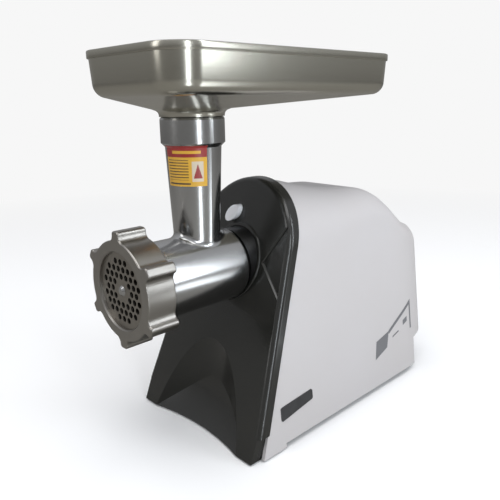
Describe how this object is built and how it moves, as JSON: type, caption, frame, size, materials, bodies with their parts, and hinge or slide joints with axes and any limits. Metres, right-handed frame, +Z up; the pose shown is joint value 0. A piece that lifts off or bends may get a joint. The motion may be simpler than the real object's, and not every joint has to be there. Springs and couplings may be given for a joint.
{
  "type": "electric meat grinder",
  "caption": "Countertop meat grinder with a leaning front, tapered housing, side-feed tray on a tube, auger head, perforated plate and lobed ring nut.",
  "frame": {"origin": "bottom centre of the whole grinder, on the surface that it stands on", "axes": "+Z up, the head points along -Y, +X to the right when the head faces the viewer"},
  "size_m": [0.1492, 0.3307, 0.305],
  "materials": {
    "fascia_plastic": "charcoal, semi-gloss moulding",
    "housing_plastic": "very light grey, fine satin texture",
    "black_plastic": "fine moulded texture",
    "rubber": "matt",
    "zinc": "zinc plated",
    "gearbox_alloy": "die cast, as cast",
    "socket_steel": "dark turned steel",
    "bronze": "sintered bronze",
    "gear_steel": "machined",
    "gear_nylon": "natural nylon",
    "lamination": "stamped sheet stack",
    "copper": "enamelled copper",
    "carbon": "pressed carbon",
    "rocker_plastic": "gloss moulding",
    "button_plastic": "white gloss moulding",
    "board": "printed circuit board",
    "cast_metal": "cast and satin polished",
    "ring_metal": "cast, bead blasted",
    "blade_steel": "ground",
    "plate_steel": "ground face",
    "tray_steel": "brushed stainless sheet"
  },
  "bodies": {
    "casing": {"front_fascia": "fascia_plastic", "main_housing": "housing_plastic", "rear_vent": "black_plastic", "base_plate": "black_plastic", "rubber_feet": "rubber", "base_screws": "zinc", "fascia_screws": "zinc", "cord_gland": "black_plastic", "gearbox_case": "gearbox_alloy", "gearbox_cover": "gearbox_alloy", "gearbox_screws": "zinc", "head_socket": "socket_steel", "output_bush": "bronze", "shaft_bushes": "bronze", "fan_shroud": "black_plastic", "motor_bearings": "gear_steel", "field_core": "lamination", "field_windings": "copper", "motor_bolts": "zinc", "motor_bracket": "gearbox_alloy", "brush_holders": "bronze", "carbon_brushes": "carbon", "brush_springs": "gear_steel", "switch_panel": "black_plastic", "power_switch": "black_plastic", "reverse_switch": "black_plastic", "thermal_breaker": "black_plastic", "control_board": "board", "board_components": "black_plastic", "board_bracket": "black_plastic", "terminal_block": "gear_nylon", "lock_spring": "gear_steel"},
    "head": {"grinder_head": "cast_metal", "plate_key": "gear_steel", "auger_bush": "bronze"},
    "plate": {"grinding_plate": "plate_steel"},
    "ring": {"ring_nut": "ring_metal"},
    "tray": {"hopper_tray": "tray_steel"},
    "drive": {"auger": "cast_metal", "auger_washer": "gear_nylon", "cutting_blade": "blade_steel", "output_shaft": "gear_steel", "output_gear": "gear_steel", "output_clip": "gear_steel"},
    "slow_shaft": {"slow_layshaft": "gear_steel", "slow_pinion": "gear_steel", "slow_gear": "gear_steel"},
    "fast_shaft": {"fast_layshaft": "gear_steel", "fast_pinion": "gear_steel", "fast_gear": "gear_nylon"},
    "armature": {"motor_shaft": "gear_steel", "armature_core": "lamination", "armature_windings": "copper", "commutator": "copper", "cooling_fan": "gear_nylon", "motor_pinion": "gear_steel"},
    "lock": {"lock_button": "button_plastic"},
    "power_rocker": {"power_rocker": "rocker_plastic"},
    "reverse_rocker": {"reverse_rocker": "rocker_plastic"},
    "reset": {"reset_button": "button_plastic"}
  },
  "joints": [
    {"name": "head_twist", "type": "hinge", "parent": "casing", "child": "head", "pos_m": [0, -0.0927, 0.139], "axis": [0, 1, 0], "range_deg": [0, 40]},
    {"name": "tray_lift", "type": "slide", "parent": "head", "child": "tray", "axis": [0, 0, 1], "range_m": [0, 0.06]},
    {"name": "plate_slide", "type": "slide", "parent": "head", "child": "plate", "axis": [0, -1, 0], "range_m": [0, 0.016]},
    {"name": "ring_turn", "type": "hinge", "parent": "plate", "child": "ring", "pos_m": [0, -0.0927, 0.139], "axis": [0, -1, 0], "range_deg": [0, 1440]},
    {"name": "auger_spin", "type": "hinge", "parent": "casing", "child": "drive", "pos_m": [0, -0.0927, 0.139], "axis": [0, 1, 0], "continuous": true},
    {"name": "slow_spin", "type": "hinge", "parent": "casing", "child": "slow_shaft", "pos_m": [-0.018, -0.0927, 0.09531], "axis": [0, 1, 0], "continuous": true},
    {"name": "fast_spin", "type": "hinge", "parent": "casing", "child": "fast_shaft", "pos_m": [0.014, -0.0927, 0.08963], "axis": [0, 1, 0], "continuous": true},
    {"name": "armature_spin", "type": "hinge", "parent": "casing", "child": "armature", "pos_m": [0, -0.0927, 0.06447], "axis": [0, 1, 0], "continuous": true},
    {"name": "lock_press", "type": "slide", "parent": "casing", "child": "lock", "axis": [0, 1, 0], "range_m": [0, 0.004], "stiffness_N_per_m": 200, "springref_m": -0.004, "deforming": ["lock_spring"]},
    {"name": "power_rock", "type": "hinge", "parent": "casing", "child": "power_rocker", "pos_m": [-0.06425, 0.0463, 0.055], "axis": [0, 0, 1], "range_deg": [0, 16]},
    {"name": "reverse_rock", "type": "hinge", "parent": "casing", "child": "reverse_rocker", "pos_m": [-0.06425, 0.0733, 0.055], "axis": [0, 0, 1], "range_deg": [0, 16], "stiffness_Nm_per_rad": 0.02, "springref_deg": -5.73},
    {"name": "reset_press", "type": "slide", "parent": "casing", "child": "reset", "axis": [1, 0, 0], "range_m": [0, 0.002], "stiffness_N_per_m": 200, "springref_m": -0.003}
  ],
  "couplings": [
    {"joint": "plate_slide", "follows": "ring_turn", "m_per_rad": 0.00063662},
    {"joint": "slow_spin", "follows": "auger_spin", "ratio": -3.5},
    {"joint": "fast_spin", "follows": "auger_spin", "ratio": 14},
    {"joint": "armature_spin", "follows": "auger_spin", "ratio": -70}
  ]
}
